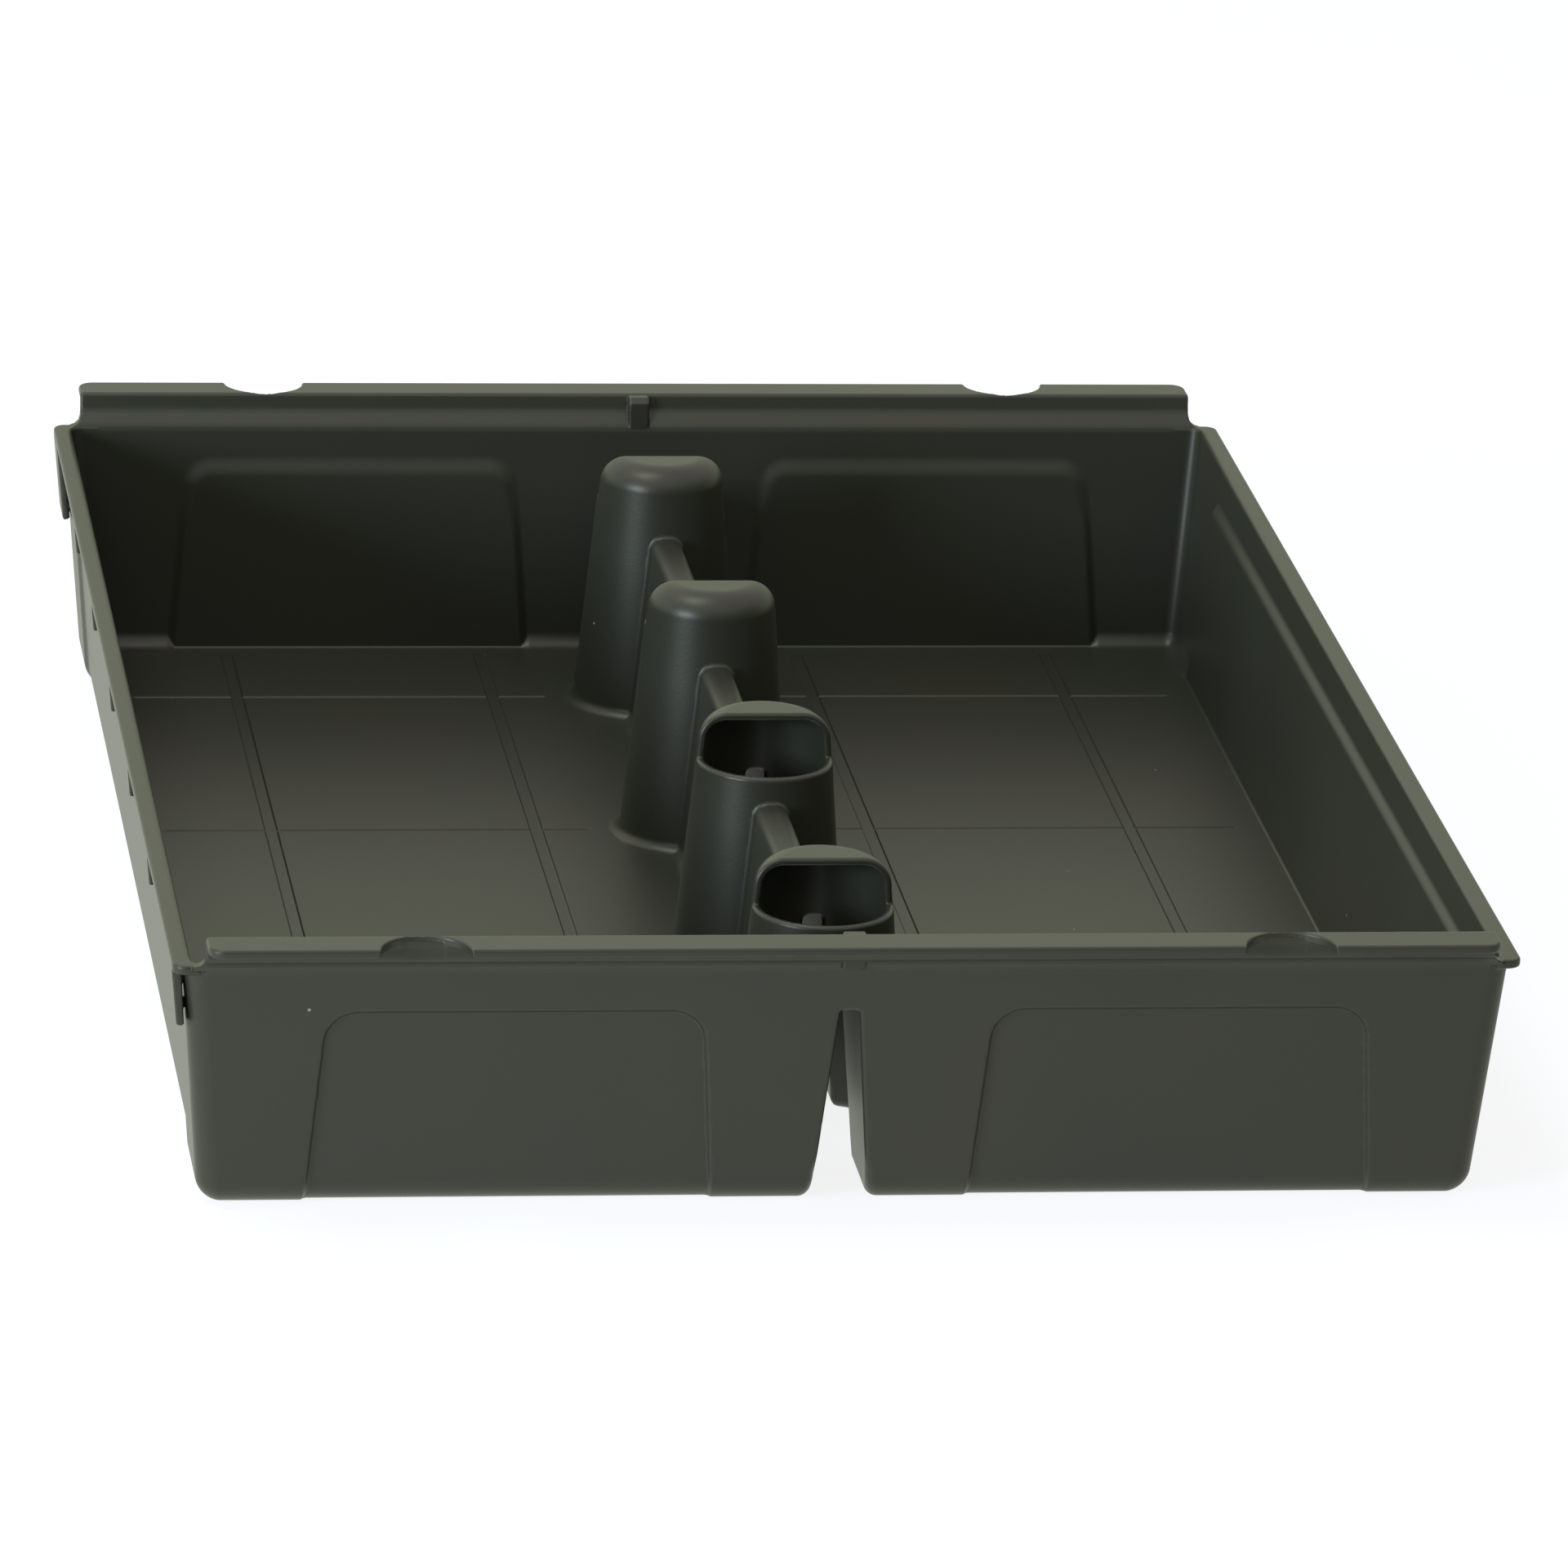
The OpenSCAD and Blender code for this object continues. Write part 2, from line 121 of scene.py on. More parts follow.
@dataclass(frozen=True)
class Outline:
    """A closed cross-section with rounded corners.

    Args:
        points: Corners as (u, w, radius of the rounding).
        steps: Straight pieces in each rounded corner.
    """

    points: tuple[Triple, ...]
    steps: int = 5

    def path(self) -> Numbers:
        """Rounds the corners.

        Returns:
            Points of the rounded outline, as an array of (u, w).
        """
        count = len(self.points)
        out: list[Numbers] = []
        for i, (u, w, radius) in enumerate(self.points):
            here = np.array([u, w])
            if radius <= 0.0:
                out.append(here)
                continue
            before = np.array(self.points[i - 1][:2]) - here
            after = np.array(self.points[(i + 1) % count][:2]) - here
            before = before / np.linalg.norm(before)
            after = after / np.linalg.norm(after)
            inwards = (before + after) / np.linalg.norm(before + after)
            half = 0.5 * math.acos(float(np.clip(before @ after, -1.0, 1.0)))
            centre = here + inwards * radius / math.sin(half)
            start = here + before * radius / math.tan(half) - centre
            end = here + after * radius / math.tan(half) - centre
            a0 = math.atan2(start[1], start[0])
            turn = math.atan2(end[1], end[0]) - a0
            turn = (turn + math.pi) % (2.0 * math.pi) - math.pi
            for k in range(self.steps + 1):
                a = a0 + turn * k / self.steps
                out.append(centre + radius * np.array([math.cos(a), math.sin(a)]))
        return np.array(out)

    def distance(self, u: Numbers, w: Numbers) -> Numbers:
        """Measures from points to the outline.

        Args:
            u: First coordinate of the points.
            w: Second coordinate of the points.

        Returns:
            The distance, negative inside.
        """
        path = self.path()
        u, w = np.broadcast_arrays(u, w)
        best = np.full(u.shape, FAR * FAR)
        inside = np.zeros(u.shape, dtype=bool)
        for i in range(len(path)):
            (ax, ay), (bx, by) = path[i - 1], path[i]
            ex, ey = bx - ax, by - ay
            px, py = u - ax, w - ay
            t = np.clip((px * ex + py * ey) / (ex * ex + ey * ey), 0.0, 1.0)
            best = np.minimum(best, (px - t * ex) ** 2 + (py - t * ey) ** 2)
            crosses = (w < ay) != (w < by)
            if ey != 0.0:
                inside ^= crosses & (u < ax + (w - ay) * ex / ey)
        return np.where(inside, -1.0, 1.0) * np.sqrt(best)


# ---- features


@dataclass(frozen=True)
class Basin:
    """Drafted walls and floor, with embossed panels and floor grooves.

    Args:
        half_width: Half of the width over the side walls, at the rim.
        half_length: Half of the length over the end walls, at the rim.
        rim: Height of the rim.
        cross_rows: Places of the cross grooves along the tray.
    """

    half_width: float
    half_length: float
    rim: float
    cross_rows: tuple[float, ...]
    wall: float = 2.8
    floor: float = 3.0
    side_draft: float = 0.085
    end_draft: float = 0.125
    corner: float = 7.0
    foot: float = 8.0
    side_panel_depths: Pair = (1.2, 2.0)
    side_panel_edge: float = 4.5
    side_panel_top: float = 67.3
    end_panel_depths: Pair = (1.6, 1.3)
    panel_edges: Pair = (1.6, 3.2)
    panel_top_edges: Pair = (1.6, 6.8)
    panel_tops: Pair = (64.0, 68.7)
    panel_growths: Pair = (0.0, 1.2)
    panel_edge_low: float = 42.0
    panel_edge_rise: float = 22.0
    panel_corner: float = 10.0
    panel_foot: float = 0.9
    panel_in: float = 42.5
    panel_out: float = 155.0
    panel_flare: float = 5.0
    panel_end_gap: float = 36.0
    groove: float = 4.0
    groove_depth: float = 0.6
    groove_edge: float = 0.6
    groove_rows: tuple[float, ...] = (54.5, 141.0)
    groove_end_gap: float = 12.0
    cross_groove: float = 1.4
    cross_from: float = 37.0
    cross_to: float = 176.0

    def end_panel(self, x: Numbers, z: Numbers, face: int) -> Numbers:
        """Measures how far an end wall's face is pressed in.

        Args:
            x, z: Places, in millimetres.
            face: 0 for the outer face, 1 for the inner one.

        Returns:
            Share of the panel's depth, from 0 to 1.
        """
        spread = self.panel_flare * (1.0 - z / self.panel_tops[0]) + self.panel_growths[face]
        sides = np.maximum(self.panel_in - spread - np.abs(x), np.abs(x) - self.panel_out - spread)
        edge = self.panel_edges[face]
        rise = ease((z - self.panel_edge_low) / self.panel_edge_rise)
        edge = edge + (self.panel_top_edges[face] - edge) * rise
        return ease(-round_and(sides, z - self.panel_tops[face], self.panel_corner) / edge)

    def side_panel_end(self) -> float:
        """Distance from the middle to the side panels' ends."""
        return self.half_length - self.end_draft * self.rim - self.panel_end_gap

    def side_panel(self, y: Numbers, z: Numbers) -> Numbers:
        """How far the side walls are pressed in at (y, z), from 0 to 1."""
        along, up = np.abs(y) - self.side_panel_end(), z - self.side_panel_top
        return ease(-round_and(along, up, self.panel_corner) / self.side_panel_edge)

    def walls(self, x: Numbers, y: Numbers, z: Numbers, inset: float) -> Numbers:
        """Measures to the four walls' outer or inner faces.

        Args:
            x, y, z: Places, in millimetres.
            inset: How far inwards the faces lie, 0 for the outer ones.

        Returns:
            The distance, negative inside.
        """
        face = int(inset > 0.0)
        depth = self.rim - z
        side = np.abs(x) - self.half_width + inset + self.side_draft * depth
        side = side / lean(self.side_draft)
        end = np.abs(y) - self.half_length + inset + self.end_draft * depth
        end = end / lean(self.end_draft)
        side = side + self.side_panel_depths[face] * self.side_panel(y, z)
        end = end + self.end_panel_depths[face] * self.end_panel(x, z, face)
        return round_and(side, end, self.corner - inset)

    def outside(self, x: Numbers, y: Numbers, z: Numbers) -> Numbers:
        """Distance to the outer faces."""
        return round_and(self.walls(x, y, z, 0.0), -z, self.foot)

    def floor_face(self, x: Numbers, y: Numbers) -> Numbers:
        """Finds the height of the floor's upper face, with its grooves.

        Args:
            x, y: Places, in millimetres.

        Returns:
            The height at each place.
        """
        along = np.zeros(np.broadcast(x, y).shape)
        length = self.half_length - self.end_draft * self.rim - self.groove_end_gap
        for row in self.groove_rows:
            reach = self.groove / 2.0 - np.abs(np.abs(x) - row)
            reach = np.minimum(reach, length - np.abs(y))
            along = np.maximum(along, ease(0.5 + reach / self.groove_edge))
        for row in self.cross_rows:
            reach = self.cross_groove / 2.0 - np.abs(y - row)
            reach = np.minimum(reach, np.abs(x) - self.cross_from)
            reach = np.minimum(reach, self.cross_to - np.abs(x))
            along = np.maximum(along, ease(0.5 + reach / self.groove_edge))
        return self.floor - self.groove_depth * along

    def hollow(self, x: Numbers, y: Numbers, z: Numbers) -> Numbers:
        """Measures to the space inside the walls, above the floor.

        Args:
            x, y, z: Places, in millimetres.

        Returns:
            The distance, negative inside.
        """
        walls = self.walls(x, y, z, self.wall)
        at_end = np.abs(y) - self.half_length > np.abs(x) - self.half_width
        end, side = self.end_panel(x, self.floor, 1), self.side_panel(y, self.floor)
        pressed = np.where(at_end, end, side)
        fillet = self.foot - self.wall
        fillet = fillet + (self.panel_foot - fillet) * pressed
        return round_and(walls, self.floor_face(x, y) - z, fillet)


@dataclass(frozen=True)
class Ridge:
    """The hollow ridge along the middle, open below as a tunnel.

    Args:
        top: Height of the ridge's upper face.
    """

    top: float
    wall: float = 2.2
    half_top: float = 2.8
    draft: float = 0.09
    edge: float = 3.6
    tunnel_edge: float = 1.0

    def tunnel_half(self, z: Numbers) -> Numbers:
        """Half width of the tunnel at height z."""
        return self.half_top + self.draft * (self.top - self.wall - z)

    def form(self, x: Numbers, z: Numbers) -> Numbers:
        """Distance to the ridge's outer faces."""
        side = (np.abs(x) - self.tunnel_half(z)) / lean(self.draft) - self.wall
        return round_and(side, z - self.top, self.edge)

    def tunnel(self, x: Numbers, z: Numbers) -> Numbers:
        """Distance to the tunnel's space."""
        side = (np.abs(x) - self.tunnel_half(z)) / lean(self.draft)
        return round_and(side, z - self.top + self.wall, self.tunnel_edge)


class MouthSide(Enum):
    """The end of the tray that a post's mouth looks to, as a direction along Y."""

    FRONT = -1.0
    REAR = 1.0


@dataclass(frozen=True)
class Posts:
    """Hollow tapered posts. The upper part of one half is cut away and forms the mouth.

    Args:
        rows: Places of the posts along Y, from the front.
        top: Height of the closed half.
        mouths: The side that each post's mouth looks to.
    """

    rows: tuple[float, ...]
    top: float
    mouths: tuple[MouthSide, ...] = (MouthSide.FRONT,) * 2 + (MouthSide.REAR,) * 2
    wall: float = 2.2
    base_radius: float = 27.6
    draft: float = 0.086
    top_edge: float = 8.0
    mouth_drop: float = 14.5
    crest_edge: float = 1.1
    step_fillet: float = 0.6

    def nearest(self, y: Numbers) -> tuple[Numbers, Numbers]:
        """Finds the nearest post for each y.

        Args:
            y: Places along the tray.

        Returns:
            Offset from that post's axis along Y, and the same counted towards its mouth.
        """
        rows = np.array(self.rows)
        index = np.abs(y[..., None] - rows).argmin(axis=-1)
        offset = y - rows[index]
        sides = np.array([mouth.value for mouth in self.mouths])
        return offset, offset * sides[index]

    def radius(self, z: Numbers) -> Numbers:
        """Outer radius at height z."""
        return self.base_radius - self.draft * z

    def form(self, x: Numbers, y: Numbers, z: Numbers) -> Numbers:
        """Measures to the posts' outer faces.

        Args:
            x, y, z: Places, in millimetres.

        Returns:
            The distance, negative inside.
        """
        offset, outward = self.nearest(y)
        side = (np.hypot(x, offset) - self.radius(z)) / lean(self.draft)
        closed = round_and(side, z - self.top, self.top_edge)
        kept = round_or(outward, z - self.top + self.mouth_drop, self.step_fillet)
        return round_and(closed, kept, self.crest_edge)

    def hollow(self, x: Numbers, y: Numbers, z: Numbers) -> Numbers:
        """Distance to the space inside the posts."""
        side = (np.hypot(x, self.nearest(y)[0]) - self.radius(z)) / lean(self.draft) + self.wall
        return round_and(side, z - self.top + self.wall, self.top_edge - self.wall)


@dataclass(frozen=True)
class Rims:
    """Flat side rims, with tabs that hang below the left one.

    Args:
        half_width: Half of the width over both rims.
        half_length: Half of the rims' length.
        top: Height of the rims' upper face.
    """

    half_width: float
    half_length: float
    top: float
    thickness: float = 2.8
    corner: float = 4.0
    edge: float = 0.9
    fillet: float = 0.8
    tab_top: float = 2.4
    tab_low: float = 1.5
    tab_lean: float = 0.1
    tab_drop: float = 8.5
    tab_length: float = 8.0
    tab_rows: tuple[float, ...] = (-172.0, -86.0, 0.0, 86.0, 172.0)
    end_tab_drops: Pair = (17.0, 26.0)
    end_tab_lengths: Pair = (6.0, 18.0)
    end_tab_thickness: Pair = (2.9, 2.3)
    tab_edge: float = 0.7

    def block(self, x: Numbers, y: Numbers, z: Numbers) -> Numbers:
        """Measures to the rims' form, which has no upper limit.

        Args:
            x, y, z: Places, in millimetres.

        Returns:
            The distance, negative inside.
        """
        plan = round_and(np.abs(x) - self.half_width, np.abs(y) - self.half_length, self.corner)
        plan = np.maximum(plan, self.half_width - 2.0 * self.corner - np.abs(x))
        return round_and(plan, self.top - self.thickness - z, self.edge)

    def tabs(self, x: Numbers, y: Numbers, z: Numbers) -> Numbers:
        """Measures to the tabs below the left rim.

        Args:
            x, y, z: Places, in millimetres.

        Returns:
            The distance, negative inside.
        """
        best = np.full(np.broadcast(x, y, z).shape, FAR)
        fall = self.top - self.thickness - z
        middle = (self.tab_length, self.tab_drop, self.tab_top, self.tab_low)
        kinds = [(row, *middle) for row in self.tab_rows]
        for sign, length, drop in zip((-1.0, 1.0), self.end_tab_lengths, self.end_tab_drops):
            row = sign * (self.half_length - self.corner - length / 2.0)
            kinds.append((row, length, drop, *self.end_tab_thickness))
        for row, length, drop, top, low in kinds:
            outer = -self.half_width + self.tab_lean * np.maximum(fall, 0.0)
            thick = top + (low + self.tab_lean * drop - top) * fall / drop
            across = np.maximum(outer - x, x + self.half_width - thick)
            along = np.maximum(np.abs(y - row) - length / 2.0, -fall - self.thickness / 2.0)
            tab = round_and(round_and(across, along, self.tab_edge), fall - drop, self.tab_edge)
            best = np.minimum(best, tab)
        return best


@dataclass(frozen=True)
class Lips:
    """Stepped lips above the end walls, with finger notches and a small middle rib.

    Args:
        wall_face: Distance from the middle to the end walls' outer faces, at the rim.
        half_length: Half of a lip's length along its wall.
        rim: Height of the rim.
        top: Height of the ledge's upper face.
        reach: Distance from the wall's outer face to the ledge's outer edge.
    """

    wall_face: float
    half_length: float
    rim: float
    top: float
    reach: float
    wall: float = 2.8
    end_draft: float = 0.125
    step: float = 4.7
    slope_height: float = 4.2
    bend: float = 1.5
    inner_blend: float = 5.5
    riser_lean: float = 0.6
    riser_foot: float = 0.5
    overrun: float = 3.0
    under_bend: float = 0.8
    outer_blend: float = 3.0
    foot_blend: float = 8.5
    end_corner: float = 5.0
    edge: float = 0.9
    notch_radius: float = 13.3
    notch_at: float = 127.5
    notch_sink: float = 1.4
    notch_edge: float = 0.5
    foot_fillet: float = 3.5
    rib: float = 7.0
    rib_edge: float = 0.7
    rib_root: float = 1.0
    rib_round: float = 0.6
    rib_knees: tuple[Pair, ...] = ((0.6, 2.2), (2.4, 0.4))
    fillet_overlap: float = 2.0
    fillet_sink: float = 1.5
    root: float = 6.0

    def section(self) -> Outline:
        """Lays out wall top, slope, riser, bend and ledge.

        Returns:
            The cross-section, across the wall and up.
        """
        riser_in = self.step - self.wall
        riser_out = self.step
        ledge_end = self.reach + self.overrun
        slope_top = self.rim + self.slope_height
        sink = self.wall * math.tan(math.atan2(self.step, self.slope_height) / 2.0)
        shift = self.end_draft * self.root
        return Outline(
            (
                (-self.wall - shift, self.rim - self.root, 0.0),
                (-self.wall, self.rim, self.inner_blend),
                (riser_in - self.riser_lean, slope_top + self.riser_foot, self.inner_blend),
                (riser_in + self.riser_lean, self.top, self.bend),
                (ledge_end, self.top, 0.0),
                (ledge_end, self.top - self.wall, 0.0),
                (riser_out, self.top - self.wall, self.under_bend),
                (riser_out, slope_top - sink, self.outer_blend),
                (0.0, self.rim, self.foot_blend),
                (-shift, self.rim - self.root, 0.0),
            )
        )

    def rib_section(self) -> Outline:
        """Lays out the upright rib that fills the step.

        Returns:
            The cross-section, across the wall and up.
        """
        (knee_in, knee_drop), (ledge_in, ledge_drop) = self.rib_knees
        back = self.step - self.wall + self.rib_root
        return Outline(
            (
                (-self.wall, self.rim - self.rib_root, 0.0),
                (-self.wall, self.rim, 0.0),
                (knee_in - self.wall, self.top - knee_drop, self.rib_round),
                (ledge_in - self.wall, self.top - ledge_drop, self.rib_round),
                (back, self.top - ledge_drop, 0.0),
                (back, self.rim - self.rib_root, 0.0),
            )
        )

    def form(self, x: Numbers, y: Numbers, z: Numbers) -> Numbers:
        """Measures to both lips.

        Args:
            x, y, z: Places, in millimetres.

        Returns:
            The distance, negative inside.
        """
        out = np.abs(y) - self.wall_face
        section = self.section().distance(out, z)
        plan = round_and(np.abs(x) - self.half_length, out - self.reach, self.end_corner)
        lip = round_and(section, plan, self.edge)
        disc = np.hypot(np.abs(x) - self.notch_at, out - self.reach) - self.notch_radius
        deep = np.maximum(disc, self.step - out)
        shallow = np.maximum(disc, self.top - self.notch_sink - z)
        lip = round_and(lip, -np.minimum(deep, shallow), self.notch_edge)
        rib = self.rib_section().distance(out, z)
        rib = round_and(rib, np.abs(x) - self.rib / 2.0, self.rib_edge)
        return np.minimum(np.minimum(lip, rib), self.end_fillet(x, z, section))

    def end_fillet(self, x: Numbers, z: Numbers, section: Numbers) -> Numbers:
        """Measures to the concave fillets between the lips' ends and the rims.

        Args:
            x, z: Places, in millimetres.
            section: Distance to the lips' cross-section.

        Returns:
            The distance, negative inside.
        """
        r = self.foot_fillet
        across = np.abs(x) - self.half_length - r
        up = z - self.rim - r
        form = np.maximum(r - np.hypot(across, up), np.maximum(across, up))
        form = np.maximum(form, self.half_length - self.fillet_overlap - np.abs(x))
        form = np.maximum(form, self.rim - self.fillet_sink - z)
        return np.maximum(form, section)


@dataclass(frozen=True)
class Moulding:
    """The whole sheet of plastic, joined from its features.

    Args:
        basin: Walls and floor.
        ridge: The ridge and its tunnel.
        posts: The posts.
        rims: The side rims.
        lips: The end lips.
    """

    basin: Basin
    ridge: Ridge
    posts: Posts
    rims: Rims
    lips: Lips
    foot_fillet: float = 3.4
    join_fillet: float = 1.2
    slot_edge: float = 1.5
    base_edge: float = 3.5
    rim_edge: float = 0.8
    side_rim_edge: float = 1.8
    lip_rim_edge: float = 2.6
    sheet_edge: float = 0.7
    base_fade: Pair = (16.0, 8.0)
    side_fade: Pair = (4.0, 8.0)
    lip_fade: Pair = (5.0, 4.0)

    @classmethod
    def from_frame(cls) -> Moulding:
        """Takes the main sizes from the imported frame.

        Returns:
            The moulding at the frame's sizes.
        """
        wall = [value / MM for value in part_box("right_wall")[1]]
        front = [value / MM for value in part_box("front_wall")[0]]
        rim = [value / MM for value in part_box("right_rim")[1]]
        lip_low, lip_high = ([value / MM for value in corner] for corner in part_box("front_lip"))
        boxes = [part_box(f"post_{number}") for number in range(1, 5)]
        rows = tuple(0.5 * (low.y + high.y) / MM for low, high in boxes)
        length = -front[1]
        lips = Lips(
            wall_face=length,
            half_length=lip_high[0] - Lips.foot_fillet,
            rim=wall[2],
            top=lip_high[2],
            reach=-lip_low[1] - length,
        )
        return cls(
            basin=Basin(half_width=wall[0], half_length=length, rim=wall[2], cross_rows=rows),
            ridge=Ridge(top=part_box("ridge_1_2")[1].z / MM),
            posts=Posts(rows=rows, top=boxes[0][1].z / MM),
            rims=Rims(half_width=rim[0], half_length=length, top=wall[2]),
            lips=lips,
        )

    def distance(self, x: Numbers, y: Numbers, z: Numbers) -> Numbers:
        """Measures to the sheet's faces.

        Args:
            x, y, z: Places, in millimetres.

        Returns:
            The distance, negative inside.
        """
        outside = round_or(self.basin.outside(x, y, z), self.rims.block(x, y, z), self.rims.fillet)
        below = round_or(self.ridge.tunnel(x, z), self.posts.hollow(x, y, z), self.join_fillet)
        start, run = self.base_fade
        edge = self.slot_edge + (self.base_edge - self.slot_edge) * ease((start - z) / run)
        body = round_and(outside, -below, edge)
        start, run = self.side_fade
        at_side = ease((self.basin.half_length - start - np.abs(y)) / run)
        rim_edge = self.rim_edge + (self.side_rim_edge - self.rim_edge) * at_side
        start, run = self.lip_fade
        below_lip = ease((self.lips.half_length - start - np.abs(x)) / run) * (1.0 - at_side)
        rim_edge = rim_edge + (self.lip_rim_edge - rim_edge) * below_lip
        opening = round_or(self.basin.hollow(x, y, z), self.basin.rim - z, rim_edge)
        raised = round_or(self.ridge.form(x, z), self.posts.form(x, y, z), self.join_fillet)
        above = round_and(opening, -raised, self.foot_fillet)
        sheet = round_and(body, -above, self.sheet_edge)
        sheet = np.minimum(sheet, self.rims.tabs(x, y, z))
        return np.minimum(sheet, self.lips.form(x, y, z))

    def gradient(self, points: Numbers, h: float = 0.02) -> Numbers:
        """Measures the slope of the distance.

        Args:
            points: Places as rows of x, y and z.
            h: Half of the length over which the difference is taken.

        Returns:
            The slope along the three axes, for each point.
        """
        out = np.empty_like(points)
        for axis in range(3):
            shift = np.zeros(3)
            shift[axis] = h
            high = self.distance(*(points + shift).T)
            low = self.distance(*(points - shift).T)
            out[:, axis] = (high - low) / (2.0 * h)
        return out


# ---- meshing


@dataclass(frozen=True)
class Zone:
    """A stretch of an axis that needs close grid lines.

    Args:
        middle: Middle of the stretch.
        half: Half of its length.
        step: Distance between its lines.
    """

    middle: float
    half: float
    step: float

    def at(self, place: float) -> Zone:
        """The same stretch, moved along the axis by place."""
        return Zone(self.middle + place, self.half, self.step)


@dataclass(frozen=True)
class Lines:
    """Grid lines along one axis, close together near detail.

    Args:
        stops: Places where a line has to lie, in rising order.
        zones: Stretches with closer lines.
        coarse: Largest distance between lines.
        growth: How fast the distance grows away from a zone.
    """

    stops: tuple[float, ...]
    zones: tuple[Zone, ...]
    coarse: float
    growth: float = 0.35

    def step_at(self, place: float) -> float:
        """Wanted distance between lines at a place."""
        gaps = ((z.step, max(0.0, abs(place - z.middle) - z.half)) for z in self.zones)
        return min([self.coarse, *(step + self.growth * gap for step, gap in gaps)])

    def places(self) -> Numbers:
        """Lays out the lines.

        Returns:
            All lines, in rising order.
        """
        out = [self.stops[0]]
        for start, stop in zip(self.stops, self.stops[1:]):
            marks = [start]
            while marks[-1] < stop:
                marks.append(marks[-1] + self.step_at(marks[-1] + 0.5 * self.step_at(marks[-1])))
            scale = (stop - start) / (marks[-1] - start)
            out += [start + (mark - start) * scale for mark in marks[1:]]
        return np.array(out)


@dataclass(frozen=True)
class Region:
    """The stretch of the moulding that one piece shows.

    Args:
        node: The CAD node that the piece stands for.
        low: Lowest corner of the region.
        high: Highest corner of the region.
    """

    node: str
    low: Triple
    high: Triple


@dataclass
class Moulder:
    """Turns regions of the moulding into meshes on one shared grid.

    Args:
        moulding: The form.
        axes: Grid lines along X, Y and Z.
        passes: How often each point is drawn onto the exact face.
    """

    moulding: Moulding
    axes: tuple[Numbers, Numbers, Numbers]
    passes: int = 3
    least_steepness: float = 0.25
    normal_reach: float = 0.05

    def span(self, region: Region, axis: int) -> tuple[int, int]:
        """Finds a region's grid lines.

        Args:
            region: The region.
            axis: 0, 1 or 2 for X, Y or Z.

        Returns:
            Numbers of its first and last line along the axis.
        """
        lines = self.axes[axis]
        first = int(np.searchsorted(lines, region.low[axis] - LINE_TOLERANCE))
        last = int(np.searchsorted(lines, region.high[axis] - LINE_TOLERANCE))
        return max(first, 1), min(last, len(lines) - 1)

    def mesh(self, region: Region, name: str) -> bpy.types.Object:
        """Builds the mesh of one region.

        Args:
            region: The region.
            name: Name of the new object.

        Returns:
            The object, in metres, with smooth faces and exact normals.
        """
        spans = [self.span(region, axis) for axis in range(3)]
        lines = [self.axes[a][spans[a][0] - 1 : spans[a][1] + 1] for a in range(3)]
        values = self.moulding.distance(*(run_along(lines[a], a) for a in range(3)))
        cells, points, sizes = self.cell_points(lines, values)
        quads = self.quads(values, cells)
        used, flat = np.unique(quads, return_inverse=True)
        quads = flat.reshape(quads.shape)
        points, normals = self.settle(points[used], sizes[used])
        mesh = bpy.data.meshes.new(name)
        mesh.vertices.add(len(points))
        mesh.vertices.foreach_set("co", (points * MM).astype(np.float32).ravel())
        mesh.loops.add(quads.size)
        mesh.loops.foreach_set("vertex_index", quads.astype(np.int32).ravel())
        mesh.polygons.add(len(quads))
        mesh.polygons.foreach_set("loop_start", np.arange(0, quads.size, 4, dtype=np.int32))
        mesh.update(calc_edges=True)
        mesh.validate()
        mesh.polygons.foreach_set("use_smooth", np.ones(len(mesh.polygons), dtype=bool))
        mesh.normals_split_custom_set_from_vertices(normals.astype(np.float32))
        piece = bpy.data.objects.new(name, mesh)
        bpy.context.scene.collection.objects.link(piece)
        return piece

    @staticmethod
    def cell_points(
        lines: Sequence[Numbers], values: Numbers
    ) -> tuple[Numbers, Numbers, Numbers]:
        """Places one point in each grid cell that a face passes through.

        Args:
            lines: Grid lines along the three axes.
            values: Distance at each grid point.

        Returns:
            Index of each cell's point or -1, the points, and half of each cell's size.
        """
        inside = values < 0.0
        shape = tuple(n - 1 for n in values.shape)
        total = np.zeros((*shape, 3))
        count = np.zeros(shape, dtype=np.int32)
        for axis in range(3):
            others = [a for a in range(3) if a != axis]
            low = [slice(None)] * 3
            high = [slice(None)] * 3
            low[axis], high[axis] = slice(None, -1), slice(1, None)
            f0, f1 = values[tuple(low)], values[tuple(high)]
            cut = inside[tuple(low)] != inside[tuple(high)]
            share = np.where(cut, f0 / np.where(cut, f0 - f1, 1.0), 0.0)
            ends = lines[axis]
            place = run_along(ends[:-1], axis) + share * run_along(np.diff(ends), axis)
            for i in (0, 1):
                for j in (0, 1):
                    pick = [slice(None)] * 3
                    for other, shift in zip(others, (i, j)):
                        pick[other] = slice(shift, values.shape[other] - 1 + shift)
                    here = cut[tuple(pick)]
                    count += here
                    total[..., axis] += np.where(here, place[tuple(pick)], 0.0)
                    for other, shift in zip(others, (i, j)):
                        edge = lines[other][shift : len(lines[other]) - 1 + shift]
                        total[..., other] += np.where(here, run_along(edge, other), 0.0)
        active = count > 0
        cells = np.full(shape, -1, dtype=np.int64)
        cells[active] = np.arange(int(active.sum()))
        points = total[active] / count[active][:, None]
        where = np.nonzero(active)
        sizes = np.stack([0.5 * np.diff(lines[a])[where[a]] for a in range(3)], axis=1)
        return cells, points, sizes

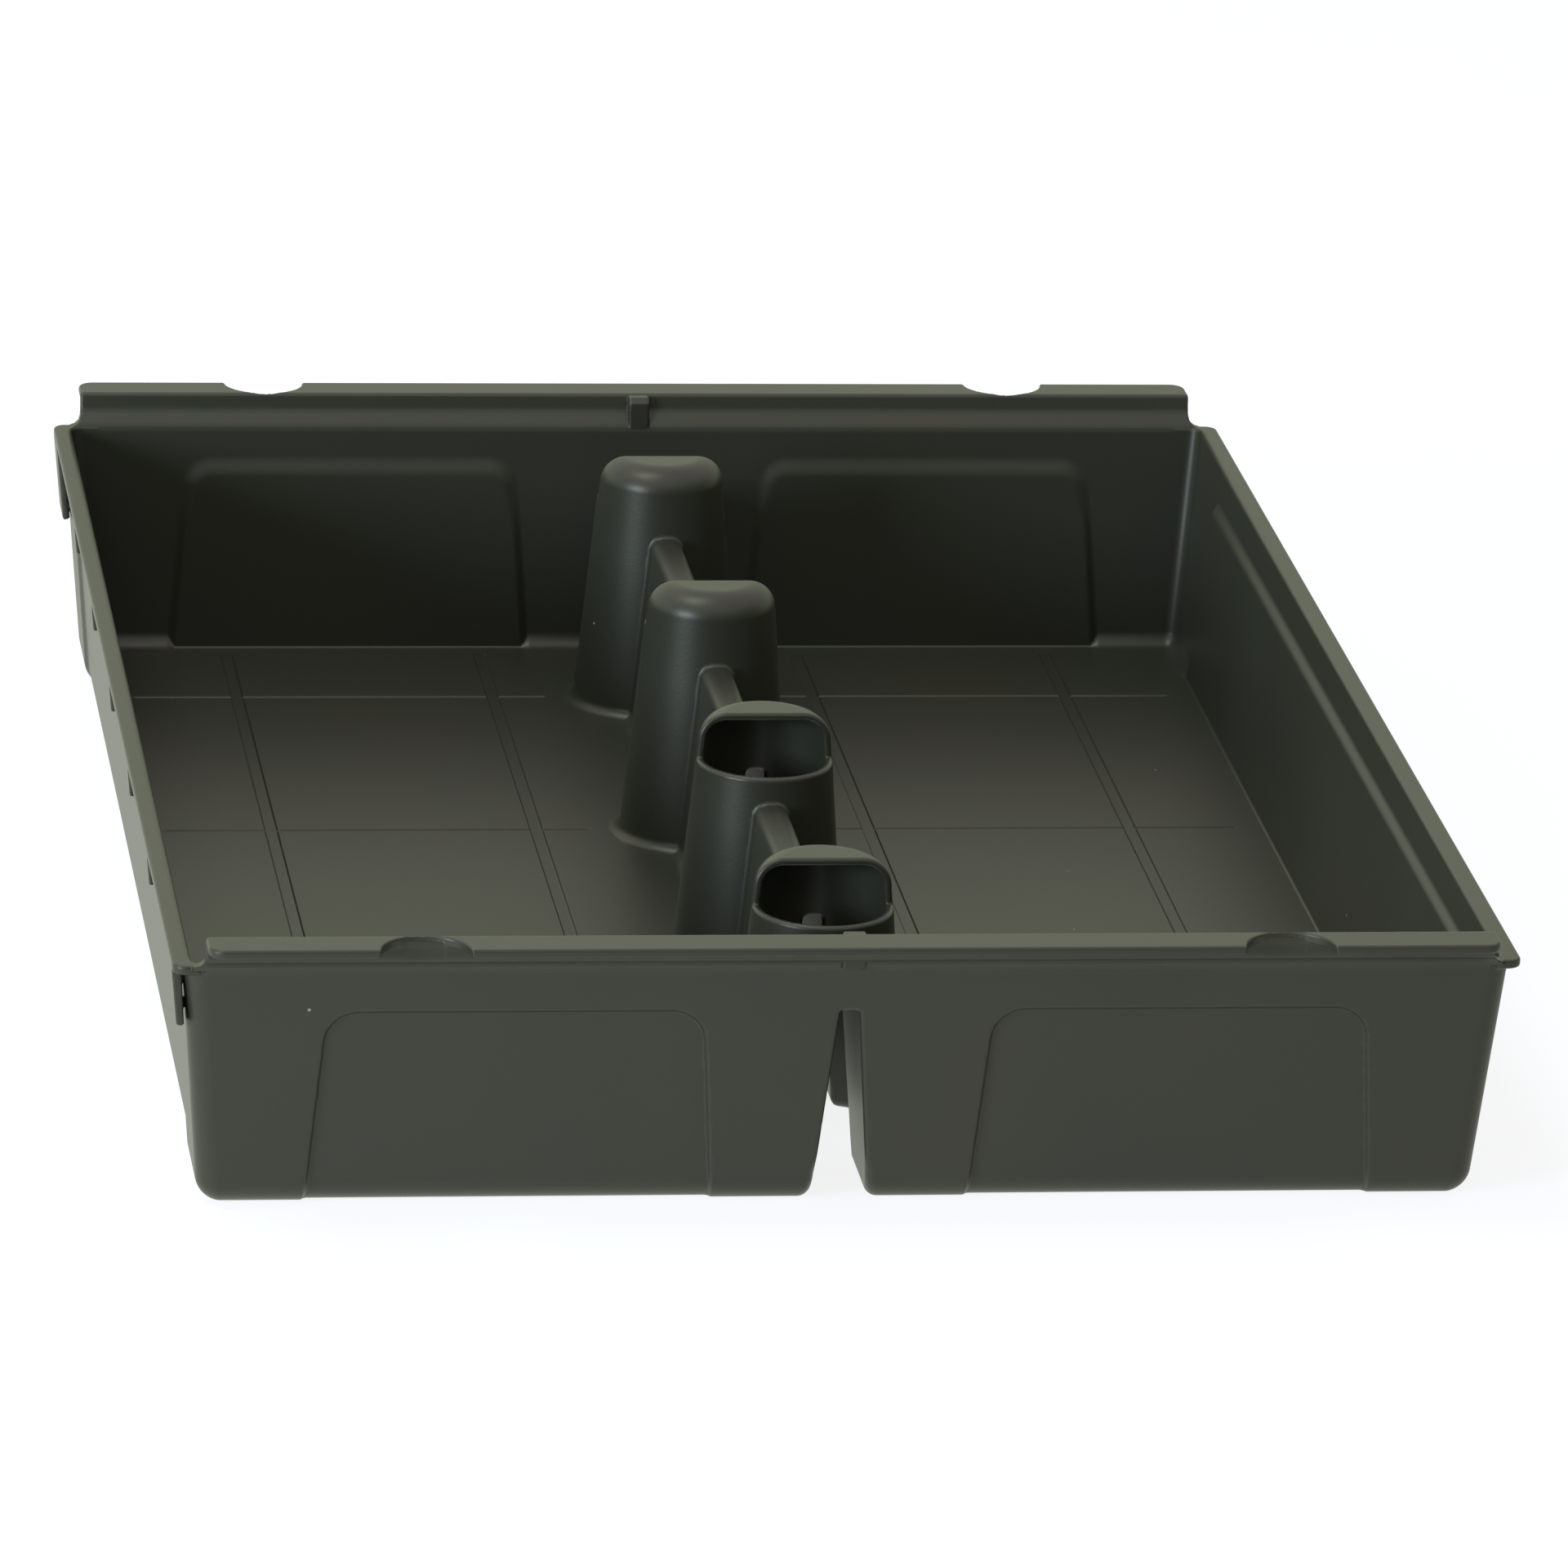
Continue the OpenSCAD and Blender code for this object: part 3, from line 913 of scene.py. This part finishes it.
    @staticmethod
    def quads(values: Numbers, cells: Numbers) -> Numbers:
        """Makes one four-sided face for each grid edge that passes through the sheet's face.

        Args:
            values: Distance at each grid point.
            cells: Index of each cell's point or -1.

        Returns:
            The four point numbers of each face.
        """
        inside = values < 0.0
        faces: list[Numbers] = []
        for axis in range(3):
            b, c = [(axis + 1) % 3, (axis + 2) % 3]
            low: list[Any] = [slice(1, -1)] * 3
            high: list[Any] = [slice(1, -1)] * 3
            high[axis] = slice(2, None)
            i0, i1 = inside[tuple(low)], inside[tuple(high)]
            where = np.stack(np.nonzero(i0 != i1), axis=1) + 1
            if not len(where):
                continue
            shifts = [(0, 0), (-1, 0), (-1, -1), (0, -1)]
            corners = []
            for sb, sc in shifts:
                at = where.copy()
                at[:, b] += sb
                at[:, c] += sc
                corners.append(cells[at[:, 0], at[:, 1], at[:, 2]])
            quad = np.stack(corners, axis=1)
            flip = ~inside[where[:, 0], where[:, 1], where[:, 2]]
            quad[flip] = quad[flip][:, ::-1]
            faces.append(quad)
        return np.concatenate(faces)

    def settle(self, points: Numbers, sizes: Numbers) -> tuple[Numbers, Numbers]:
        """Draws points onto the exact faces.

        Args:
            points: First places.
            sizes: How far each may move along each axis.

        Returns:
            The places and their unit normals.
        """
        start = points.copy()
        for _ in range(self.passes):
            slope = self.moulding.gradient(points)
            steep = np.maximum((slope * slope).sum(axis=1), self.least_steepness)
            points = points - slope * (self.moulding.distance(*points.T) / steep)[:, None]
            points = np.clip(points, start - sizes, start + sizes)
        slope = self.moulding.gradient(points, self.normal_reach)
        return points, slope / np.maximum(np.linalg.norm(slope, axis=1), TINY)[:, None]


# ---- finishes


@dataclass(frozen=True)
class Nodes:
    """Helps to lay out the nodes of a material or of the surroundings.

    Args:
        owner: The material or world.
    """

    owner: bpy.types.Material | bpy.types.World

    def __post_init__(self) -> None:
        """Starts with no nodes."""
        self.owner.use_nodes = True
        self.owner.node_tree.nodes.clear()

    def feed(self, target: Socket, source: Feed) -> None:
        """Links an input to a socket, or writes a number or colour into it.

        Args:
            target: The input.
            source: The socket, number or colour.
        """
        if isinstance(source, Socket):
            self.owner.node_tree.links.new(source, target)
        else:
            target.default_value = (*source, 1.0) if isinstance(source, tuple) else source

    def add(
        self, kind: str, feeds: Mapping[str | int, Feed] | None = None, **settings: str
    ) -> bpy.types.Node:
        """Adds a node.

        Args:
            kind: Type name of the node, less its first part.
            feeds: What each input takes, by the input's name or number.
            settings: Properties of the node.

        Returns:
            The node.
        """
        node = self.owner.node_tree.nodes.new("ShaderNode" + kind)
        for key, value in settings.items():
            setattr(node, key, value)
        for slot, source in (feeds or {}).items():
            self.feed(node.inputs[slot], source)
        return node

    def blend(self, share: Socket, first: Tint, second: Tint) -> Socket:
        """Mixes two colours, each written out or taken from a socket.

        Args:
            share: Share of the second colour.
            first: The first colour.
            second: The second colour.

        Returns:
            The socket of the mixed colour.
        """
        mix = self.add("Mix", {"Factor": share}, data_type="RGBA")
        slots = [slot for slot in mix.inputs if slot.type == "RGBA"]
        for slot, tint in zip(slots, (first, second)):
            self.feed(slot, tint)
        return next(slot for slot in mix.outputs if slot.type == "RGBA")

    def ramp(self, value: Socket, low: float, high: float) -> Socket:
        """Smooth step from 0 at the low value to 1 at the high one."""
        feeds = {"Value": value, "From Min": low, "From Max": high}
        return self.add("MapRange", feeds, interpolation_type="SMOOTHSTEP").outputs["Result"]


@dataclass(frozen=True)
class MouldedPlastic:
    """Dark satin polypropylene with a fine grain, faint warm clouds and a few pale nicks.

    Args:
        colour: Base colour, linear.
        warm: Colour of the slightly worn, warmer clouds.
        roughness: Roughness.
        cloud_span: Noise values between which base colour turns into warm colour.
        grain_height: Height of the grain, in metres.
        nick: Colour of the few small nicks that show pale.
        nick_size: Radius of a nick, in metres.
        nick_core: Share of that radius that is fully pale.
        nick_pitch: Nicks to the metre, before most fall clear of the faces.
    """

    colour: Colour = (0.030, 0.0355, 0.030)
    warm: Colour = (0.034, 0.0365, 0.0295)
    roughness: float = 0.4
    cloud_scale: float = 14.0
    cloud_detail: float = 4.0
    cloud_span: Pair = (0.35, 0.75)
    grain_scale: float = 900.0
    grain_detail: float = 2.0
    grain_strength: float = 0.12
    grain_height: float = 0.0002
    nick: Colour = (0.40, 0.42, 0.38)
    nick_size: float = 0.0006
    nick_core: float = 0.6
    nick_pitch: float = 30.0

    def build(self) -> bpy.types.Material:
        """Makes the material.

        Returns:
            The material.
        """
        material = bpy.data.materials.new("tray_plastic")
        nodes = Nodes(material)
        place = nodes.add("TexCoord").outputs["Object"]
        feeds = {"Vector": place, "Scale": self.cloud_scale, "Detail": self.cloud_detail}
        clouds = nodes.add("TexNoise", feeds)
        tint = nodes.add("ValToRGB", {"Fac": clouds.outputs["Fac"]})
        stops = zip(tint.color_ramp.elements, self.cloud_span, (self.colour, self.warm))
        for stop, position, colour in stops:
            stop.position = position
            stop.color = (*colour, 1.0)
        cells = nodes.add("TexVoronoi", {"Vector": place, "Scale": self.nick_pitch})
        limit = self.nick_size * self.nick_pitch
        clear = nodes.ramp(cells.outputs["Distance"], self.nick_core * limit, limit)
        feeds = {"Vector": place, "Scale": self.grain_scale, "Detail": self.grain_detail}
        grain = nodes.add("TexNoise", feeds)
        feeds = {"Strength": self.grain_strength, "Distance": self.grain_height}
        bump = nodes.add("Bump", {**feeds, "Height": grain.outputs["Fac"]})
        feeds = {
            "Base Color": nodes.blend(clear, self.nick, tint.outputs["Color"]),
            "Normal": bump.outputs["Normal"],
            "Roughness": self.roughness,
        }
        shader = nodes.add("BsdfPrincipled", feeds)
        nodes.add("OutputMaterial", {"Surface": shader.outputs["BSDF"]})
        return material


@dataclass(frozen=True)
class PaleFloor:
    """A white studio floor that keeps a faint shadow.

    Args:
        paper: Colour of the paper as it lights the tray.
        glow: Strength of the plain white that the eye sees in it.
        shadow: Brightness of the paper that carries the shadow, seen on top of the plain white.
        mirrored_left: Colour of the floor's left part as satin plastic mirrors it: painted
            reflection light, brighter on the key lamp's side.
        mirrored_right: The same for the right part, painted darker as shade away from the key lamp.
        mirrored_span: Where the left colour ends and the right one starts, in metres.
    """

    paper: Colour = (0.82, 0.82, 0.82)
    glow: float = 0.86
    shadow: Colour = (0.27, 0.34, 0.50)
    mirrored_left: Colour = (1.06, 1.10, 0.97)
    mirrored_right: Colour = (0.66, 0.70, 0.60)
    mirrored_span: Pair = (-0.35, 0.55)

    def build(self) -> bpy.types.Material:
        """Makes the material.

        Returns:
            The material.
        """
        material = bpy.data.materials.new("pale_floor")
        material.cycles.emission_sampling = "NONE"
        nodes = Nodes(material)
        path = nodes.add("LightPath")
        seen = path.outputs["Is Camera Ray"]
        colour = nodes.blend(seen, self.paper, self.shadow)
        paper = nodes.add("BsdfDiffuse", {"Color": colour})
        glow = nodes.add("Math", {0: seen, 1: self.glow}, operation="MULTIPLY")
        white = nodes.add("Emission", {"Color": WHITE, "Strength": glow.outputs[0]})
        feeds = {0: paper.outputs["BSDF"], 1: white.outputs["Emission"]}
        lit = nodes.add("AddShader", feeds)
        place = nodes.add("TexCoord")
        spot = nodes.add("SeparateXYZ", {"Vector": place.outputs["Object"]})
        # Painted reflection: for glossy rays the floor glows brighter on the key lamp's side and
        # darker away from it, in place of lamp-lit paper.
        across = nodes.ramp(spot.outputs["X"], *self.mirrored_span)
        tint = nodes.blend(across, self.mirrored_left, self.mirrored_right)
        mirrored = nodes.add("Emission", {"Color": tint, "Strength": 1.0})
        feeds = {0: path.outputs["Is Glossy Ray"], 1: lit.outputs["Shader"]}
        mix = nodes.add("MixShader", {**feeds, 2: mirrored.outputs["Emission"]})
        nodes.add("OutputMaterial", {"Surface": mix.outputs["Shader"]})
        return material


# ---- studio


@dataclass(frozen=True)
class Softbox:
    """A rectangular lamp with a soft edge.

    Args:
        name: Name of the lamp.
        place: Where it hangs, in metres.
        size: Width and height, in metres.
        power: Power in watts.
        colour: Colour of the light.
        aim: The point that it looks at.
    """

    name: str
    place: Triple
    size: Pair
    power: float
    colour: Colour
    aim: Triple = (0.0, 0.0, 0.05)

    def build(self) -> None:
        """Hangs the lamp."""
        data = bpy.data.lights.new(self.name, "AREA")
        data.shape = "RECTANGLE"
        data.size, data.size_y = self.size
        data.energy = self.power
        data.color = self.colour
        lamp = bpy.data.objects.new(self.name, data)
        bpy.context.scene.collection.objects.link(lamp)
        lamp.location = self.place
        look = Vector(self.aim) - Vector(self.place)
        lamp.rotation_euler = look.to_track_quat("-Z", "Y").to_euler()


@dataclass(frozen=True)
class Viewpoint:
    """Where the eye stands and how it is turned.

    Args:
        place: Place of the eye, in metres.
        yaw: Turn to the right, in radians.
        pitch: Tilt downwards.
        roll: Tilt to the side.
        lens: Focal length, in millimetres.
        film: Width of the film, in millimetres.
        sight: How far the eye sees, in metres.
    """

    place: Triple = (-0.4396, -3.3193, 1.1234)
    yaw: float = 0.1365
    pitch: float = 0.3123
    roll: float = 0.0395
    lens: float = 253.36
    film: float = 36.0
    sight: float = 100.0

    def build(self) -> None:
        """Makes the camera and hands it to the scene."""
        forward = Vector(
            (
                math.sin(self.yaw) * math.cos(self.pitch),
                math.cos(self.yaw) * math.cos(self.pitch),
                -math.sin(self.pitch),
            )
        )
        level = Vector((math.cos(self.yaw), -math.sin(self.yaw), 0.0))
        upright = level.cross(forward)
        right = math.cos(self.roll) * level + math.sin(self.roll) * upright
        up = -math.sin(self.roll) * level + math.cos(self.roll) * upright
        turn = Matrix((right, up, -forward)).transposed()
        data = bpy.data.cameras.new("eye")
        data.sensor_width = self.film
        data.lens = self.lens
        data.clip_end = self.sight
        camera = bpy.data.objects.new("eye", data)
        camera.matrix_world = Matrix.Translation(self.place) @ turn.to_4x4()
        bpy.context.scene.collection.objects.link(camera)
        bpy.context.scene.camera = camera


@dataclass(frozen=True)
class Surroundings:
    """White room whose bright end is mirrored in the plastic.

    Args:
        sky: Colour of the soft light from all round.
        rear_left: Mirrored colour of the room's lit end, beyond the tray, on the key lamp's side.
        rear_right: The same on the other side.
        front: Mirrored colour of its dim end, on the viewer's side.
        ceiling: Mirrored colour of the ceiling.
        across: Directions in X between which the lit end's left colour turns into the right.
        along: Directions in Y between which the dim end turns into the lit one.
        upwards: Directions in Z between which the walls turn into the ceiling.
    """

    sky: Colour = (0.33, 0.26, 0.18)
    rear_left: Colour = (1.0, 1.08, 0.80)
    rear_right: Colour = (0.66, 0.75, 0.53)
    front: Colour = (0.22, 0.27, 0.22)
    ceiling: Colour = (1.0, 0.92, 0.86)
    across: Pair = (-0.45, 0.55)
    along: Pair = (-0.15, 0.15)
    upwards: Pair = (0.4, 0.6)

    def build(self) -> bpy.types.World:
        """Makes the world.

        Returns:
            The world.
        """
        world = bpy.data.worlds.new("studio_room")
        world.cycles.sampling_method = "NONE"
        nodes = Nodes(world)
        path = nodes.add("LightPath")
        place = nodes.add("TexCoord")
        way = nodes.add("SeparateXYZ", {"Vector": place.outputs["Generated"]})
        x, y, z = way.outputs
        rear = nodes.blend(nodes.ramp(x, *self.across), self.rear_left, self.rear_right)
        walls = nodes.blend(nodes.ramp(y, *self.along), self.front, rear)
        mirrored = nodes.blend(nodes.ramp(z, *self.upwards), walls, self.ceiling)
        unseen = nodes.blend(path.outputs["Is Glossy Ray"], self.sky, mirrored)
        tint = nodes.blend(path.outputs["Is Camera Ray"], unseen, WHITE)
        light = nodes.add("Background", {"Color": tint, "Strength": 1.0})
        nodes.add("OutputWorld", {"Surface": light.outputs["Background"]})
        return world


@dataclass(frozen=True)
class Studio:
    """Floor, surroundings and lamps.

    Args:
        floor_size: Side of the floor, in metres.
        lamps: The lamps.
    """

    floor_size: float = 24.0
    lamps: tuple[Softbox, ...] = (
        Softbox("key", (-2.644, -1.851, 0.74), (1.3, 0.8), 59.0, (0.86, 0.99, 1.0)),
        Softbox("top", (-1.124, -0.098, 3.101), (1.2, 1.2), 25.0, (0.93, 1.0, 0.82)),
    )

    def build(self) -> None:
        """Sets up the studio."""
        scene = bpy.context.scene
        scene.view_settings.view_transform = "Standard"
        mesh = bpy.data.meshes.new("studio_floor")
        half = self.floor_size / 2.0
        corners = [(-half, -half, 0), (half, -half, 0), (half, half, 0), (-half, half, 0)]
        mesh.from_pydata(corners, [], [(0, 1, 2, 3)])
        floor = bpy.data.objects.new("studio_floor", mesh)
        floor.data.materials.append(PaleFloor().build())
        scene.collection.objects.link(floor)
        scene.world = Surroundings().build()
        for lamp in self.lamps:
            lamp.build()


# ---- tray


@dataclass
class Tray:
    """The tray's pieces, one for each named region of the moulding.

    Args:
        moulding: The form of the whole sheet.
        strip: Half width of the middle strip with ridge and posts.
        side: Distance from the middle to the strips of the side walls.
        end: Distance from the middle to the strips of the end walls.
        post_half: Half length of a post's stretch of the strip.
        limit: Highest place on each axis, just outside the tray.
        lowest: Height just below the tray.
        starts: First grid line on each axis.
        coarse: Largest distance between grid lines on each axis.
    """

    moulding: Moulding
    strip: float = 35.6
    side: float = 181.7
    end: float = 262.3
    post_half: float = 32.9
    limit: Triple = (201.3, 301.3, 89.9)
    lowest: float = -1.3
    floor_high: float = 12.4
    rim_low: float = 75.1
    lip_low: float = 77.8
    starts: Triple = (0.41, 0.43, -1.37)
    coarse: Triple = (7.0, 7.0, 4.0)
    middle_zone: Zone = Zone(0.0, 31.0, 0.8)
    side_zone: Zone = Zone(191.5, 9.6, 0.7)
    panel_zones: tuple[Zone, Zone] = (Zone(-2.5, 4.0, 0.9), Zone(3.0, 4.5, 0.9))
    notch_margin: float = 0.8
    notch_step: float = 0.9
    groove_zone: Zone = Zone(0.0, 0.7, 0.3)
    end_zone: Zone = Zone(283.5, 17.6, 0.7)
    cross_zone: Zone = Zone(0.0, 1.2, 0.35)
    tab_zone: Zone = Zone(0.0, 5.0, 0.9)
    side_panel_zone: Zone = Zone(0.0, 3.5, 1.2)
    heights: tuple[Zone, ...] = (Zone(4.0, 5.5, 0.55), Zone(65.0, 4.5, 0.75), Zone(81.0, 8.8, 0.55))

    def lines(self) -> tuple[Numbers, Numbers, Numbers]:
        """Lays out the grid for the whole tray.

        Returns:
            The grid lines along X, Y and Z.
        """
        basin, lips = self.moulding.basin, self.moulding.lips
        panel_in, panel_out = self.panel_zones
        notch = Zone(lips.notch_at, lips.notch_radius + self.notch_margin, self.notch_step)
        across = [self.middle_zone, self.side_zone, notch]
        across += [panel_in.at(basin.panel_in), panel_out.at(basin.panel_out)]
        for row in basin.groove_rows:
            edges = (row - basin.groove / 2.0, row + basin.groove / 2.0)
            across += [self.groove_zone.at(edge) for edge in edges]
        rows = sorted(row for row in self.moulding.posts.rows if row > 0.0)
        tabs = [row for row in self.moulding.rims.tab_rows if row >= 0.0]
        along = [self.end_zone, self.side_panel_zone.at(basin.side_panel_end())]
        along += [zone.at(row) for zone in (self.middle_zone, self.cross_zone) for row in rows]
        along += [self.tab_zone.at(row) for row in tabs]
        posts = [row + sign * self.post_half for row in rows for sign in (-1.0, 1.0)]
        stops = (
            (self.starts[0], self.strip, self.side, self.limit[0]),
            (self.starts[1], *posts, self.end, self.limit[1]),
            (self.starts[2], self.floor_high, self.rim_low, self.lip_low, self.limit[2]),
        )
        zones = (tuple(across), tuple(along), self.heights)
        right, rear, up = (Lines(*row).places() for row in zip(stops, zones, self.coarse))
        return np.concatenate([-right[::-1], right]), np.concatenate([-rear[::-1], rear]), up

    def regions(self) -> list[Region]:
        """Divides the moulding.

        Returns:
            The regions, each with the node that it stands for.
        """
        width, length, height = self.limit
        low, side, strip, end = self.lowest, self.side, self.strip, self.end
        ends = (((-width, -length), (width, -end)), ((-width, end), (width, length)))
        sides = (((-width, -end), (-side, end)), ((side, -end), (width, end)))
        floors = (((-side, -end), (-strip, end)), ((strip, -end), (side, end)))
        table = (
            ("front_wall rear_wall", ends, low, self.lip_low),
            ("front_lip rear_lip", ends, self.lip_low, height),
            ("left_wall right_wall", sides, low, self.rim_low),
            ("left_rim right_rim", sides, self.rim_low, height),
            ("floor_left floor_right", floors, low, self.floor_high),
        )
        out = [
            Region(name, (*first, start), (*last, stop))
            for names, plans, start, stop in table
            for name, (first, last) in zip(names.split(), plans)
        ]
        marks = [-end]
        for row in self.moulding.posts.rows:
            marks += [row - self.post_half, row + self.post_half]
        marks.append(end)
        nodes = "ridge_front post_1 ridge_1_2 post_2 ridge_2_3 post_3 ridge_3_4 post_4 ridge_rear"
        for node, first, last in zip(nodes.split(), marks, marks[1:]):
            out.append(Region(node, (-strip, first, low), (strip, last, height)))
        return out

    def build(self) -> None:
        """Moulds and dresses every piece, attaches it to the root body and hides the CAD node that
        it stands for.
        """
        plastic = MouldedPlastic().build()
        moulder = Moulder(self.moulding, self.lines())
        LOG.info("grid of %d x %d x %d lines", *(len(axis) for axis in moulder.axes))
        for region in self.regions():
            piece = moulder.mesh(region, "moulded_" + region.node)
            piece.data.materials.append(plastic)
            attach(piece, "root")
            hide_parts(region.node)
            LOG.info("%s: %d faces", piece.name, len(piece.data.polygons))


def main() -> None:
    """Loads the frame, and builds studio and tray."""
    logging.basicConfig(level=logging.INFO, format="%(name)s: %(message)s")
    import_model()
    Viewpoint().build()
    Studio().build()
    Tray(Moulding.from_frame()).build()
    bpy.context.view_layer.update()
    LOG.info("sizes written")


if __name__ == "__main__":
    main()
